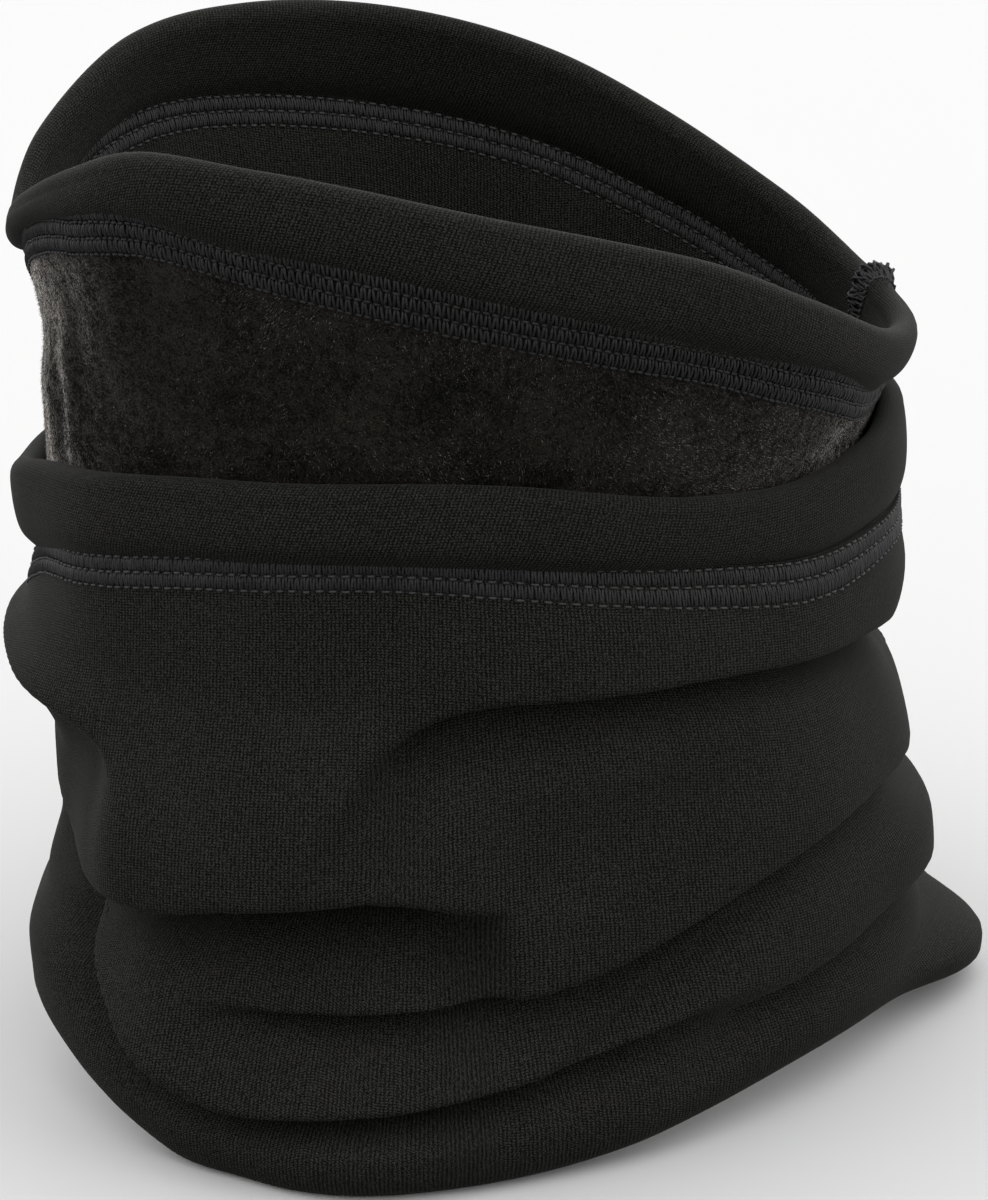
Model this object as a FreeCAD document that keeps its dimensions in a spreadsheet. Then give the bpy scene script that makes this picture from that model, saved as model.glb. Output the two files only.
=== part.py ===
import FreeCAD, Part
import math
import os

# A neck gaiter: one long tube of fleece-backed jersey, folded in half at its lower edge, so that the
# outer leaf shows the knit and the inner leaf, which stands higher, shows the fleece. Each end of the
# tube has a doubled cuff, sewn on with a flat five-thread seam, and one seam closes the tube at the back.
# Millimetres. +Z is up, -Y is the wearer's front, +X the wearer's left. The origin is on the plane that
# the gaiter stands on, under the middle of its opening.
#
# Every layer goes once round the neck, so each is a closed loft of one outline, drawn again at every
# station. An outline's points are pairs: how far the point stands out from the base oval that half_width
# and half_depth give, and its height.

doc = FreeCAD.newDocument("neck_gaiter")
sheet = doc.addObject("Spreadsheet::Sheet", "Sizes")

DRIVING_SIZES = {
    "half_width": 71.5,          # side to side, outer leaf at its cuff
    "half_depth": 88.5,          # front to back, outer leaf at its cuff
    "knit_thick": 1.2,
    "fabric_thick": 3.0,         # knit and fleece pile together
    "cuff_thick": 6.0,           # two plies of the same fabric
    "cuff_height": 17.0,
    "outer_seam_level": 106.0,
    "fold_knit": 2.2,            # knit thickness under the lower fold
    "fold_fabric": 4.6,          # knit and fleece thickness under the lower fold
    "fold_rise": 4.9,            # where the walls end and the fold's curve begins, above the hem line
    "sole_drop": 0.8,            # how much of the fold is pressed flat where it stands
    "hem_radius": 225.0,         # the lower edge rises towards the shoulders on this radius
    "hem_turn": 50.0,            # degrees from the front to the left, along the lowest line of the hem
    "rim_radius": 300.0,         # the upper edge falls towards the nape on this radius
    "rim_crest": 187.0,
    "rim_forward": 89.0,         # how far ahead of the middle the crest lies
    "rim_turn": -20.0,           # degrees from the front to the left, towards the crest
    "cover_lift": 0.3,
    "row_lift": 0.6,
    "looper_lift": 0.4,
    "seam_half": 3.2,            # needle side, half of its height
    "looper_half": 4.6,          # looper side, half of its height
    "row_gap": 2.8,              # from one needle row to the next
    "row_half": 0.35,
    "back_seam_half": 3.0,
    "back_row_offset": 1.6,
    "back_turn": 167.0,          # degrees from the front to the left, where the tube and cuffs are closed
    "back_seam_foot": 19.0,      # the vertical seam's threads start above the fold
    "back_clearance": 0.4,       # flat strips of thread stand this far off the curved wall
    "tool_span": 240.0,
    "tool_depth": 20.0,
}

# Sections of each leaf's outer face: height, and how far it stands out from the base oval.
LEAF_SECTIONS = {
    "outer": [(0, 4.5), (12, 5.2), (50, 1.5), (90, 0.0), (135, 0.0)],
    "inner": [(0, -1.0), (12, -1.0), (50, -5.0), (90, -7.5), (124, -8.0), (145, -3.5), (195, -1.5)],
}
STATIONS = 24
WALL_POINTS = 6

nodes = []


def fill_sheet():
    row = 0
    for alias, value in DRIVING_SIZES.items():
        row += 1
        sheet.set("A%d" % row, alias)
        sheet.set("B%d" % row, str(value))
        sheet.setAlias("B%d" % row, alias)
    for leaf, sections in LEAF_SECTIONS.items():
        for index, (height, stand) in enumerate(sections):
            row += 1
            sheet.set("A%d" % row, "%s leaf, section %d" % (leaf, index))
            sheet.set("B%d" % row, str(height))
            sheet.set("C%d" % row, str(stand))
            sheet.setAlias("B%d" % row, "%s_height_%d" % (leaf, index))
            sheet.setAlias("C%d" % row, "%s_stand_%d" % (leaf, index))
    doc.recompute()


def size(alias):
    return float(sheet.get(alias))


def heading(angle):
    """The level direction that is angle degrees from the wearer's front towards the left."""
    turn = math.radians(angle)
    return FreeCAD.Vector(math.sin(turn), -math.cos(turn), 0)


def place(angle, stand, height):
    across = (size("half_width") + stand) * math.sin(math.radians(angle))
    along = (size("half_depth") + stand) * math.cos(math.radians(angle))
    return FreeCAD.Vector(across, -along, height)


def hem_level(angle):
    """Height of the lower fold's underside, before it is pressed flat where it stands."""
    radius = size("hem_radius")
    aside = place(angle, 0, 0).dot(heading(size("hem_turn") + 90))
    return radius - size("sole_drop") - math.sqrt(radius ** 2 - aside ** 2)


def rim_level(angle):
    radius = size("rim_radius")
    ahead = place(angle, 0, 0).dot(heading(size("rim_turn"))) - size("rim_forward")
    return size("rim_crest") - radius + math.sqrt(radius ** 2 - ahead ** 2)


def inner_seam_level(angle):
    return rim_level(angle) - size("cuff_height")


def outer_seam_level(angle):
    return size("outer_seam_level")


def stand_out(leaf, height):
    """How far a leaf's outer face stands out at a height, eased between its sections."""
    last = len(LEAF_SECTIONS[leaf]) - 1
    heights = [size("%s_height_%d" % (leaf, index)) for index in range(last + 1)]
    stands = [size("%s_stand_%d" % (leaf, index)) for index in range(last + 1)]
    for index in range(last):
        if height <= heights[index + 1]:
            share = max(0.0, (height - heights[index]) / (heights[index + 1] - heights[index]))
            ease = share * share * (3 - 2 * share)
            return stands[index] + (stands[index + 1] - stands[index]) * ease
    return stands[last]


def wall(leaf, inset, start, end):
    """Points on one leaf's face, inset from its outside, from one height to another."""
    heights = [start + (end - start) * step / (WALL_POINTS - 1) for step in range(WALL_POINTS)]
    return [(stand_out(leaf, height) - inset, height) for height in heights]


def fold(first, middle_height, last):
    """An arc that turns from one wall's end to the next one's."""
    return [first, ((first[0] + last[0]) / 2, middle_height), last]


def edge(points):
    if len(points) == 2:
        return Part.LineSegment(*points).toShape()
    if len(points) == 3:
        return Part.Arc(*points).toShape()
    curve = Part.BSplineCurve()
    curve.interpolate(points)
    return curve.toShape()


def ring(outline):
    """A solid that carries an outline round the neck. The outline gives its edges at an angle."""
    wires = []
    for station in range(STATIONS):
        angle = 360.0 * station / STATIONS
        edges = [edge([place(angle, *point) for point in points]) for points in outline(angle)]
        wires.append(Part.Wire(edges))
    return Part.makeLoft(wires, True, False, True)


def band(leaf, outside, inside, level, low, high):
    """A ring between two insets of a leaf, from low to high above a level."""
    def outline(angle):
        bottom, top = level(angle) + low, level(angle) + high
        corners = [(stand_out(leaf, bottom) - outside, bottom), (stand_out(leaf, top) - outside, top),
                   (stand_out(leaf, top) - inside, top), (stand_out(leaf, bottom) - inside, bottom)]
        return [[corners[index], corners[(index + 1) % 4]] for index in range(4)]
    return ring(outline)


def add_node(name, *solids):
    node = doc.addObject("Part::Feature", name)
    node.Label = name
    node.Shape = solids[0] if len(solids) == 1 else Part.makeCompound(list(solids))
    node.Placement = FreeCAD.Placement()
    nodes.append(node)
    return node


def body_layer(outside, inside, sole, roof):
    """One face of the tube: down the outer leaf, round the fold and up the inner leaf.

    outside and inside are the layer's insets on the outer leaf. The inner leaf is turned over, so its
    insets count from its other side. sole and roof are the layer's limits above the hem line."""
    thick = size("fabric_thick")

    def outline(angle):
        hem = hem_level(angle)
        bend = hem + size("fold_rise")
        top_out, top_in = outer_seam_level(angle), inner_seam_level(angle)
        down = wall("outer", outside, top_out, bend)
        up = wall("inner", thick - outside, bend, top_in)
        back_down = wall("inner", thick - inside, top_in, bend)
        back_up = wall("outer", inside, bend, top_out)
        return [down, fold(down[-1], hem + sole, up[0]), up, [up[-1], back_down[0]], back_down,
                fold(back_down[-1], hem + roof, back_up[0]), back_up, [back_up[-1], down[0]]]
    return ring(outline)


def body():
    knit, fabric = size("knit_thick"), size("fabric_thick")
    fold_knit, fold_fabric = size("fold_knit"), size("fold_fabric")
    uncut = doc.addObject("Part::Feature", "body_knit_uncut")
    uncut.Shape = body_layer(0, knit, 0, fold_knit)
    floor = doc.addObject("Part::Box", "floor")
    floor.setExpression("Length", "Sizes.tool_span")
    floor.setExpression("Width", "Sizes.tool_span")
    floor.setExpression("Height", "Sizes.tool_depth")
    floor.setExpression(".Placement.Base.x", "-0.5 * Sizes.tool_span")
    floor.setExpression(".Placement.Base.y", "-0.5 * Sizes.tool_span")
    floor.setExpression(".Placement.Base.z", "-1 * Sizes.tool_depth")
    pressed = doc.addObject("Part::Cut", "body_knit_face")
    pressed.Base = uncut
    pressed.Tool = floor
    pressed.Label = "body_knit_face"
    nodes.append(pressed)
    add_node("body_fleece_back", body_layer(knit, fabric, fold_knit, fold_fabric))


def cuff(name, leaf, seam_level):
    """A band doubled over its upper edge, knit outside and fleece shut inside."""
    knit, thick, height = size("knit_thick"), size("cuff_thick"), size("cuff_height")
    round_off = thick / 2

    def turned(angle, inset):
        """Up the outside, over the top and down the inside, at an inset from the band's surface."""
        seam = seam_level(angle)
        top = seam + height
        up = wall(leaf, inset, seam, top - round_off)
        down = wall(leaf, thick - inset, top - round_off, seam)
        return [up, fold(up[-1], top - inset, down[0]), down]

    def knit_outline(angle):
        outer, inner = turned(angle, 0), turned(angle, knit)
        back = [points[::-1] for points in inner[::-1]]
        return outer + [[outer[-1][-1], back[0][0]]] + back + [[back[-1][-1], outer[0][0]]]

    def fleece_outline(angle):
        core = turned(angle, knit)
        return core + [[core[-1][-1], core[0][0]]]

    add_node(name + "_knit", ring(knit_outline))
    add_node(name + "_fleece", ring(fleece_outline))


def outer_cuff_seam():
    """Needle side outwards: three rows over a cover thread. Looper thread on the fleece behind."""
    cover, row, gap, half = size("cover_lift"), size("row_lift"), size("row_gap"), size("row_half")
    for name, middle in (("upper", gap), ("middle", 0), ("lower", -gap)):
        add_node("outer_seam_needle_thread_" + name,
                 band("outer", -row, -cover, outer_seam_level, middle - half, middle + half))
    reach = size("seam_half")
    add_node("outer_seam_cover_thread", band("outer", -cover, 0, outer_seam_level, -reach, reach))
    behind = size("fabric_thick")
    add_node("outer_seam_looper_thread", band("outer", behind, behind + size("looper_lift"),
                                              outer_seam_level, -size("looper_half"), 0))


def inner_cuff_seam():
    """Looper side outwards, over the fleece. The needle rows and their cover thread face the neck."""
    cover, row, gap, half = size("cover_lift"), size("row_lift"), size("row_gap"), size("row_half")
    on_cuff, on_leaf = size("cuff_thick"), size("fabric_thick")
    for name, face, middle in (("upper", on_cuff, gap), ("middle", on_cuff, half), ("lower", on_leaf, -gap)):
        add_node("inner_seam_needle_thread_" + name,
                 band("inner", face + cover, face + row, inner_seam_level, middle - half, middle + half))
    reach = size("seam_half")
    add_node("inner_seam_cover_thread",
             band("inner", on_cuff, on_cuff + cover, inner_seam_level, 0, reach),
             band("inner", on_leaf, on_leaf + cover, inner_seam_level, -reach, 0))
    wide = size("looper_half")
    add_node("inner_seam_looper_thread",
             band("inner", -size("looper_lift"), 0, inner_seam_level, -wide, wide))


def strip(leaf, near, far, middle, half_wide, low, high):
    """A flat upright strip of thread along the back seam, between two distances from a leaf's outer face."""
    back = size("back_turn")
    turn = math.radians(back)
    wires = []
    for stand, height in wall(leaf, 0, low, high):
        wide, deep = size("half_width") + stand, size("half_depth") + stand
        across = FreeCAD.Vector(-wide * math.cos(turn), -deep * math.sin(turn), 0).normalize()
        outward = FreeCAD.Vector(-across.y, across.x, 0)
        sides = [(middle - half_wide, near), (middle + half_wide, near),
                 (middle + half_wide, far), (middle - half_wide, far)]
        corners = [place(back, stand, height) + across * aside + outward * off for aside, off in sides]
        wires.append(Part.makePolygon(corners + corners[:1]))
    return Part.makeLoft(wires, True, False)


def back_seam():
    """The seam that closes the tube, behind the neck and a little to the left, on both leaves."""
    gap, cover, row = size("back_clearance"), size("cover_lift"), size("row_lift")
    half, row_half, fabric = size("back_seam_half"), size("row_half"), size("fabric_thick")
    foot = size("back_seam_foot")
    outer_top = size("outer_seam_level") - size("looper_half") - gap
    inner_top = inner_seam_level(size("back_turn")) - size("looper_half") - gap

    def on_knit_side(low, high, middle, half_wide):
        return [strip("outer", gap + low, gap + high, middle, half_wide, foot, outer_top),
                strip("inner", -fabric - gap - high, -fabric - gap - low, middle, half_wide,
                      foot, inner_top)]

    add_node("back_seam_cover_thread", *on_knit_side(0, cover, 0, half))
    for side, middle in (("left", size("back_row_offset")), ("right", -size("back_row_offset"))):
        add_node("back_seam_needle_thread_" + side, *on_knit_side(cover, row, middle, row_half))
    lift = size("looper_lift")
    add_node("back_seam_looper_thread",
             strip("outer", -fabric - gap - lift, -fabric - gap, 0, half, foot, outer_top),
             strip("inner", gap, gap + lift, 0, half, foot, inner_top))


def cuff_closings():
    """Each cuff band's own closing stitches, in line with the back seam, on the side that shows."""
    gap, lift, half = size("back_clearance"), size("looper_lift"), size("back_seam_half")
    above_seam = size("seam_half") + gap
    below_fold = size("cuff_height") - size("cuff_thick") / 2
    seam = outer_seam_level(size("back_turn"))
    add_node("outer_cuff_closing_thread",
             strip("outer", gap, gap + lift, 0, half, seam + above_seam, seam + below_fold))
    seam, inside = inner_seam_level(size("back_turn")), -size("cuff_thick") - gap
    add_node("inner_cuff_closing_thread",
             strip("inner", inside - lift, inside, 0, half, seam + above_seam, seam + below_fold))


def write_nodes():
    failed = [item.Label for item in doc.Objects if "Invalid" in item.State or "Error" in item.State]
    for node in nodes:
        if node.Shape.isNull() or not node.Shape.isValid() or not node.Shape.Solids:
            failed.append(node.Label)
    if failed:
        raise RuntimeError("failed: " + ", ".join(failed))
    os.makedirs("parts", exist_ok=True)
    for node in nodes:
        node.Shape.exportStep("parts/%s.step" % node.Label)
        box = node.Shape.BoundBox
        print("%-32s solids %d  volume %8.0f  z %.1f to %.1f" % (
            node.Label, len(node.Shape.Solids), node.Shape.Volume, box.ZMin, box.ZMax))


fill_sheet()
body()
cuff("outer_cuff", "outer", outer_seam_level)
cuff("inner_cuff", "inner", inner_seam_level)
outer_cuff_seam()
inner_cuff_seam()
back_seam()
cuff_closings()
doc.recompute()
write_nodes()
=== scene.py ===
import math

import bpy
import mathutils
import numpy as np
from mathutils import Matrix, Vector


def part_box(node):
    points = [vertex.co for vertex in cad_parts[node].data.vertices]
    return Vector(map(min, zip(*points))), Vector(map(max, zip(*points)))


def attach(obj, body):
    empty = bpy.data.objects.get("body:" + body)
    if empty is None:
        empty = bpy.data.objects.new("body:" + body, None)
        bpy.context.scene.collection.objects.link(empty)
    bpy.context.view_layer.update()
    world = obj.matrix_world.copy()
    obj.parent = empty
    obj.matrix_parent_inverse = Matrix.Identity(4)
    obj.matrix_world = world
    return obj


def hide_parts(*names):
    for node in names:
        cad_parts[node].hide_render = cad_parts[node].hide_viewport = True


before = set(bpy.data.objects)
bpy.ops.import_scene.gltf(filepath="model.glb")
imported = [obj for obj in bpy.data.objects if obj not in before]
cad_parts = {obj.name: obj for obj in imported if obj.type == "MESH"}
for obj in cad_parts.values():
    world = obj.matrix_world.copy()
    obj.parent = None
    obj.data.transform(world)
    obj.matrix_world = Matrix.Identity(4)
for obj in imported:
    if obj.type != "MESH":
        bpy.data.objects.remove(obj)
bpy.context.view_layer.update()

# A neck gaiter: a fleece-backed tube folded in half, standing on its fold and slouching.
# Lengths are in millimetres here and become metres when a mesh is made. Angles are in degrees round
# the neck: 0 is the wearer's front (-Y), 90 the wearer's left (+X), 180 the nape (+Y).
MM = 0.001

# --- Driving sizes, from the frame ---
CUFF_LOW, CUFF_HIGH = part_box("outer_cuff_knit")
HALF_WIDTH = (CUFF_HIGH[0] - CUFF_LOW[0]) / 2 / MM
HALF_DEPTH = (CUFF_HIGH[1] - CUFF_LOW[1]) / 2 / MM
OUTER_SEAM = CUFF_LOW[2] / MM
RIM_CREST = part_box("inner_cuff_knit")[1][2] / MM
GIRTH = math.pi * (3 * (HALF_WIDTH + HALF_DEPTH)
                   - math.sqrt((3 * HALF_WIDTH + HALF_DEPTH) * (HALF_WIDTH + 3 * HALF_DEPTH)))

KNIT_THICK = 1.2
FABRIC_THICK = 3.0
CUFF_THICK = 5.6
CUFF_CROWN = 0.575 * CUFF_THICK  # how far the band's flat walls end below its rounded top
CUFF_SWELL = 0.9                 # how far the band bulges outwards
SWELL_INSIDE = 0.35              # the share of that by which it bulges inwards
SEAM_LAP = 3.3                   # each leaf runs on this far under its cuff, past the seam's middle
STITCH_PITCH = 2.2
ROW_GAP = 2.8
LOOPER_HALF = 4.4
AROUND = 400                     # columns round the neck
OUTER_WALL, INNER_WALL, UNDER_FOLD = 104, 40, 13   # rows of the tube's two walls and of its lower fold
BACK_LOW, BACK_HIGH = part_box("inner_cuff_closing_thread")
NAPE = 180.0 - math.degrees(math.atan2((BACK_LOW[0] + BACK_HIGH[0]) / HALF_WIDTH,
                                       (BACK_LOW[1] + BACK_HIGH[1]) / HALF_DEPTH))
CAMERA_TURN, CAMERA_RISE = math.radians(58), math.radians(20)
CAMERA_RIGHT = (math.cos(CAMERA_TURN), math.sin(CAMERA_TURN), 0.0)
CAMERA_BACK = (math.sin(CAMERA_TURN) * math.cos(CAMERA_RISE),
               -math.cos(CAMERA_TURN) * math.cos(CAMERA_RISE), math.sin(CAMERA_RISE))
AIM_HEIGHT, AIM_ASIDE, CAMERA_AWAY = 0.083, 0.0055, 0.8   # metres

SKY_BASE, SKY_TOP, SKY_SIDE = 2.5, 2.7, 1.1   # the dome all round, and its gain overhead and at the sides
KEY_POWER = 0.7
FLOOR_GREY = (0.205, 0.205, 0.205)

# Colours of each material's darkest and lightest grain
KNIT_COLOURS = (0.0, 0.0, 0.0), (0.0107, 0.0107, 0.0089)
BAND_COLOURS = (0.0, 0.0, 0.0), (0.0095, 0.0095, 0.0079)
PILE_COLOURS = (0.0001, 0.0001, 0.0), (0.0048, 0.0043, 0.0034)
# The hairs are coloured lighter than the pile they grow from. That lightness is a painted highlight, so they
# show as light specks. Their grain within it is their own.
FIBRE_HIGHLIGHT_COLOURS = (0.0006, 0.0005, 0.0004), (0.0115, 0.0107, 0.0092)
NEEDLE_COLOURS = (0.002, 0.002, 0.002), (0.0240, 0.0240, 0.0246)
BULKY_COLOURS = (0.0, 0.0, 0.0), (0.0122, 0.0122, 0.0126)
WALE_PITCH, COURSE_PITCH = 0.00068, 0.0005    # metres from one column or row of loops to the next
FIBRES = 48000

rng = np.random.default_rng(7)


# --- Curves through a few given points ---
def hermite(x, xs, ys):
    """A smooth curve through points, level beyond its ends."""
    xs, ys = np.asarray(xs, float), np.asarray(ys, float)
    slopes = np.gradient(ys, xs)
    slopes[0] = slopes[-1] = 0.0
    x = np.clip(x, xs[0], xs[-1])
    cell = np.clip(np.searchsorted(xs, x, side="right") - 1, 0, len(xs) - 2)
    width = xs[cell + 1] - xs[cell]
    t = (x - xs[cell]) / width
    return ((1 + 2 * t) * (1 - t) ** 2 * ys[cell] + t * (1 - t) ** 2 * width * slopes[cell]
            + t * t * (3 - 2 * t) * ys[cell + 1] - t * t * (1 - t) * width * slopes[cell + 1])


def ring_curve(angle, points):
    """A closed smooth curve through (angle, value) points."""
    xs = np.array([p[0] for p in points], float)
    ys = np.array([p[1] for p in points], float)
    xs = np.concatenate([xs - 360, xs, xs + 360])
    ys = np.tile(ys, 3)
    start = xs[len(points)]
    return hermite(start + np.mod(np.asarray(angle, float) - start, 360), xs, ys)


def smooth_min(a, b, softness):
    share = np.clip(0.5 + 0.5 * (b - a) / softness, 0, 1)
    return b * (1 - share) + a * share - softness * share * (1 - share)


def bell(x, above, below):
    """1 at 0, falling away with a different reach on each side."""
    return np.exp(-(x / np.where(x > 0, above, below)) ** 2)


# --- Levels round the neck ---
def outer_seam(angle):
    return OUTER_SEAM + ring_curve(angle, [
        (-60, -11), (-26, -10), (-5, -0.5), (12, 4), (34, 8.2), (50, 9.2), (68, 7.2), (94, 1), (110, -3),
        (130, -4.5), (152, -6.5), (190, -9), (250, -9)])


def outer_cuff_top(angle):
    return OUTER_SEAM + ring_curve(angle, [
        (-60, 10), (-26, 11.5), (-5, 18), (12, 21.5), (34, 24.5), (55, 25), (70, 23.5), (94, 16.5),
        (110, 13.5), (130, 14), (152, 15), (190, 11), (250, 8)])


def half_turn(angle):
    """The same angle counted from -180 to 180."""
    return np.mod(np.asarray(angle, float) + 180, 360) - 180


def bunching(angle):
    """1 where the cuff's own closing seam gathers it, falling away to both sides."""
    return np.exp(-(half_turn(np.asarray(angle, float) - NAPE) / 3.2) ** 2)


def rim(angle):
    return RIM_CREST + 1.4 * bunching(angle) + ring_curve(angle, [
        (-45, -13), (-27, -24), (-8, -15), (9, -6), (22, -0.5), (40, -1.5), (51, -4), (68, -10), (80, -15),
        (94, -22), (110, -33), (131, -46), (155, -50.5), (175, -47.6), (194, -38.1), (214, -24.9),
        (231, -13.6), (255, -3.5), (276, 0.1), (296, -2.2)])


def rim_to_seam(angle):
    return ring_curve(angle, [(-27, 9), (-2, 8), (12, 11.5), (30, 15), (60, 17.5), (94, 17.5), (120, 14.5),
                              (150, 12), (194, 19), (230, 23), (265, 22.5), (295, 18)])


def inner_seam(angle):
    return rim(angle) - rim_to_seam(angle)


def hem(angle):
    return ring_curve(angle, [
        (-60, 13), (-24, 14), (-8, 13.4), (3, 10.2), (16, 4.8), (26, 1.0), (36, 0.3), (62, 0.3), (72, 0.8),
        (83, 2.5), (92, 4.3), (101, 6.2), (112, 7.8), (126, 7.8), (140, 5.4), (152, 2.4), (180, 3),
        (212, 0.4), (236, 0.4), (265, 6)])


# --- The outer leaf: a smooth slouch, then folds that hang over what is below them ---
# Height: how far the leaf stands out from the cuff's oval there, round the neck.
SLOUCH = [
    (3, [(-60, -1.0), (-24, -4.5), (20, 3.4), (45, 10.5), (62, 8.0), (100, 5.0), (130, 8.0), (150, 18.0),
         (175, 8.0), (240, 4.0)]),
    (9, [(-60, 0.0), (-24, -3.5), (20, 4.2), (45, 11.0), (62, 9.0), (100, 6.0), (130, 8.5), (150, 18.5),
         (175, 9.0), (240, 5.0)]),
    (17, [(-60, 1.0), (-24, -2.0), (20, 3.6), (60, 6.5), (100, 5.5), (130, 7.0), (150, 6.0), (175, 7.0),
          (240, 4.0)]),
    (28, [(-60, -1.0), (-24, -1.5), (20, 3.0), (60, 5.0), (100, 5.0), (130, 6.0), (150, 6.5), (175, 5.0),
          (240, 3.0)]),
    (38, [(-60, -4.0), (-24, -5.0), (0, -3.0), (20, 0.5), (48, 0.5), (64, 3.5), (100, 4.5), (130, 6.0),
          (150, 6.5), (175, 4.0), (240, 2.0)]),
    (48, [(-60, -7.0), (-24, -7.2), (0, -6.4), (12, -0.5), (24, 0.5), (50, 1.0), (64, 3.5), (100, 4.0),
          (130, 3.0), (150, 0.5), (175, 2.5), (240, 0.5)]),
    (60, [(-60, -8.0), (-24, -9.8), (3, -9.0), (12, -3.0), (19, 0.0), (26, 0.3), (60, 3.0), (100, 3.0),
          (130, 1.0), (150, -2.0), (175, 1.0), (240, -1.0)]),
    (72, [(-60, -8.0), (-24, -8.0), (3, -8.0), (12, -3.0), (18, 1.5), (26, 1.2), (60, 2.5), (100, 2.5),
          (130, -1.0), (150, -5.0), (175, 0.5), (240, 0.0)]),
    (84, [(-60, 1.0), (-24, 3.6), (-6, 3.0), (8, 1.4), (20, 1.5), (60, 1.5), (100, 1.0), (130, -3.0),
          (150, -6.0), (175, -1.0), (240, 1.0)]),
    (93, [(-60, -3.0), (-24, -5.0), (20, 0.5), (60, 0.5), (100, 0.5), (130, -1.0), (150, -2.4),
          (175, -0.5), (240, 0.5)]),
    (110, [(-24, -6.4), (20, 0.0), (60, 0.0), (100, 0.0), (130, -0.5), (150, -1.5), (175, 0.0),
           (240, 0.0)]),
]

# Each fold: the line of its lip (angle, height), how strong it is along that line, and in millimetres how
# far the lip stands out and over what reach above it, how deep the tuck under it goes and over what
# reach below it, and how far the lip hangs down.
FOLDS = {
    "under_seam": {
        "line": [(44, 73), (48, 77), (52, 81.5), (56, 86.5), (60.5, 90), (66, 91.8), (74, 92), (84, 91.5),
                 (99, 90), (111, 88), (122, 86.5), (136, 83), (156, 78), (176, 74), (196, 74)],
        "strength": [(43, 0), (51, 0.3), (58, 0.85), (65, 1), (120, 0.95), (156, 0.9), (180, 0.6), (198, 0)],
        "lip": 3.4, "above": 11, "tuck": 6.5, "depth": 4.2,
        "below": [(40, 16), (56, 14), (80, 9), (196, 7)], "sag": 5.4},
    "chin_side": {
        "line": [(-40, 66), (-16, 64), (-3, 60.3), (6, 55.6), (13, 53), (22, 52), (28, 52.5), (34, 54.5),
                 (45, 56.5), (56, 57), (68, 54)],
        "strength": [(-30, 0), (-14, 0.4), (-3, 0.8), (6, 1), (57, 1), (64, 0.7), (71, 0)],
        "lip": 5.8, "above": 15, "tuck": 12.5, "depth": 9.0, "below": 9.5, "sag": 8.5},
    "long_diagonal": {
        "line": [(22, 40), (30, 36.8), (38, 35), (49, 35), (59, 36), (70, 38.2), (81, 42.1), (91, 47.2),
                 (100, 51.4), (112, 54.5), (128, 56), (150, 54), (180, 50), (205, 52)],
        "strength": [(24, 0), (34, 0.45), (46, 1), (60, 1), (120, 1.0), (150, 1.0), (185, 0.6), (206, 0)],
        "lip": 3.8, "above": 10, "tuck": 8.5, "depth": 4.0, "below": [(28, 3.5), (48, 7)], "sag": 6.0},
    "low_overhang": {
        "line": [(-40, 56), (-16, 55), (-4, 50.3), (2.5, 43), (8, 36.5), (16.5, 28.6), (23.5, 22), (30, 18),
                 (36, 16), (46, 16.5), (62, 19.5), (76, 24), (90, 28.5), (106, 32), (124, 33)],
        "strength": [(-24, 0), (-10, 0.4), (2, 0.9), (12, 1), (60, 1), (76, 0.75), (92, 0.45), (112, 0.15),
                     (126, 0)],
        "lip": 5.0, "above": 11, "tuck": 8.5, "depth": 6.0,
        "below": [(-24, 8), (4, 10), (20, 11), (36, 7.5), (120, 6)], "sag": 7.5},
    "left_lobe": {
        "line": [(-70, 86), (-45, 87), (-24, 87.5), (-5, 86.5), (4, 84.5), (10, 83), (16, 80), (24, 76)],
        "strength": [(-72, 0), (-45, 0.9), (-4, 1), (10, 0.8), (22, 0)],
        "lip": 2.0, "above": 7, "tuck": 4.2, "depth": 3.0, "below": 7, "sag": 2.0},
    "hem_right": {
        "line": [(86, 21), (100, 27), (118, 31), (134, 32), (152, 30), (170, 28)],
        "strength": [(82, 0), (100, 0.8), (125, 0.9), (150, 0.9), (172, 0)],
        "lip": 1.6, "above": 7, "tuck": 3.4, "depth": 4.0, "below": 6, "sag": 2.5},
    "second_diagonal": {
        "line": [(66, 29), (80, 35), (92, 42), (104, 48)],
        "strength": [(64, 0), (76, 0.8), (92, 1), (108, 0)],
        "lip": 1.0, "above": 4, "tuck": 2.2, "depth": 2.0, "below": 4, "sag": 2.0},
    "far_high": {
        "line": [(186, 70), (215, 80), (245, 84), (280, 78), (312, 66)],
        "strength": [(184, 0), (212, 0.9), (260, 1), (300, 0.7), (320, 0)],
        "lip": 3.0, "above": 12, "tuck": 3.6, "depth": 3.5, "below": 9, "sag": 5.0},
    "far_low": {
        "line": [(176, 24), (205, 20), (235, 27), (265, 34), (296, 36)],
        "strength": [(172, 0), (200, 0.9), (250, 1), (290, 0.6), (308, 0)],
        "lip": 4.0, "above": 13, "tuck": 4.0, "depth": 5.0, "below": 9, "sag": 6.0},
}


def fold_curve(angle, points):
    """A smooth curve through (angle, value) points that cover part of the round, level beyond them."""
    middle = (points[0][0] + points[-1][0]) / 2
    wrapped = np.mod(np.asarray(angle, float) - middle + 180, 360) + middle - 180
    return hermite(wrapped, [p[0] for p in points], [p[1] for p in points])


def along_fold(value, angle):
    """A fold's own number, or its curve round the neck."""
    return fold_curve(angle, value) if isinstance(value, list) else value


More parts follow.
